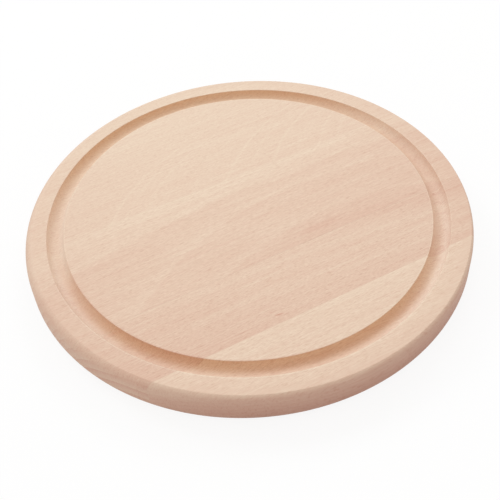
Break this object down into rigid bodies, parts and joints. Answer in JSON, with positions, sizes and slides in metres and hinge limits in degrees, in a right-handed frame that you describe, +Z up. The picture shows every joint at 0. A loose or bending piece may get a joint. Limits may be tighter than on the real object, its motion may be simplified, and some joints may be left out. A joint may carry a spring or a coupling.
{
  "type": "round cutting board",
  "caption": "Round edge-glued beech cutting board with rounded edges and a juice groove running round inside the rim of its top face.",
  "frame": {"origin": "centre of the round underside, on the surface the board lies on", "axes": "+Z up, square to the cutting surface; +X along the grain and the glue lines; +Y across the staves, from the front stave to the back stave"},
  "size_m": [0.25, 0.25, 0.02],
  "materials": {
    "pale_beech": "sanded, unoiled, matt",
    "warm_beech": "sanded, unoiled, matt",
    "blushed_beech": "sanded, unoiled, matt",
    "light_beech": "sanded, unoiled, matt",
    "wood_glue": "set wood glue, flush with the wood"
  },
  "bodies": {
    "root": {"front_stave": "pale_beech", "inner_front_stave": "warm_beech", "middle_stave": "blushed_beech", "back_stave": "light_beech", "front_glue_line": "wood_glue", "middle_glue_line": "wood_glue", "back_glue_line": "wood_glue"}
  },
  "joints": []
}
